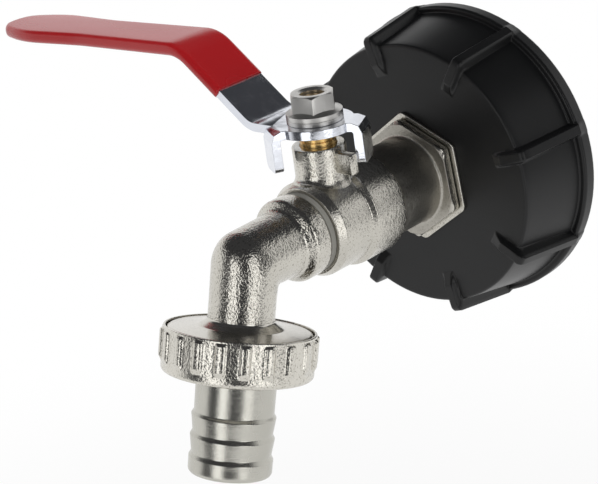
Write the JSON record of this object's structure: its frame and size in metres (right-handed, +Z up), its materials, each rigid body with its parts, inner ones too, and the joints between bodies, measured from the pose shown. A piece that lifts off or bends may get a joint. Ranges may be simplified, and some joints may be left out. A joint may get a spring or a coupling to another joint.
{
  "type": "tank outlet valve",
  "caption": "Tank outlet valve: black screw cap, quarter-turn ball valve with a red lever, bent spout, swivel nut and barbed hose tail.",
  "frame": {"origin": "centre of the mouth of the cap's thread, on the flow axis", "axes": "+Y out of the cap's mouth along the flow axis towards the tank, +Z up along the valve stem, -X along the lever when shut"},
  "size_m": [0.1471, 0.1099, 0.0932],
  "materials": {
    "black_plastic": "moulded black polypropylene, semi-matt",
    "seal_rubber": "moulded rubber",
    "nickel_cast": "nickel-plated casting, grainy satin",
    "nickel_turned": "nickel-plated, turned, bright",
    "chromed_ball": "polished chrome",
    "brass": "turned brass",
    "zinc_steel": "zinc-plated pressed steel",
    "nut_steel": "zinc-plated steel fastener",
    "red_vinyl": "dipped red vinyl, glossy",
    "ptfe": "white fluoropolymer"
  },
  "bodies": {
    "valve": {"tank_cap": "black_plastic", "cap_gasket": "seal_rubber", "thread_insert": "nickel_turned", "inlet_seal": "ptfe", "valve_body": "nickel_cast", "inlet_seat": "ptfe", "outlet_seat": "ptfe", "stem_washer": "ptfe", "stem_packing": "ptfe", "gland_nut": "brass", "outlet_spout": "nickel_cast", "spout_seal": "seal_rubber"},
    "lever": {"lever": "zinc_steel", "lever_grip": "red_vinyl", "lock_washer": "zinc_steel", "lever_nut": "nut_steel", "stem": "brass", "ball": "chromed_ball"},
    "swivel_nut": {"swivel_nut": "nickel_cast"},
    "hose_tail": {"hose_tail": "nickel_turned", "hose_washer": "seal_rubber"}
  },
  "joints": [
    {"name": "lever_turn", "type": "hinge", "parent": "valve", "child": "lever", "pos_m": [0, -0.056, 0], "axis": [0, 0, 1], "range_deg": [0, 90]},
    {"name": "nut_swivel", "type": "hinge", "parent": "valve", "child": "swivel_nut", "pos_m": [0, -0.09131, -0.01904], "axis": [0, -0.3057, -0.9521], "continuous": true},
    {"name": "tail_swivel", "type": "hinge", "parent": "valve", "child": "hose_tail", "pos_m": [0, -0.09223, -0.0219], "axis": [0, -0.3057, -0.9521], "continuous": true}
  ]
}
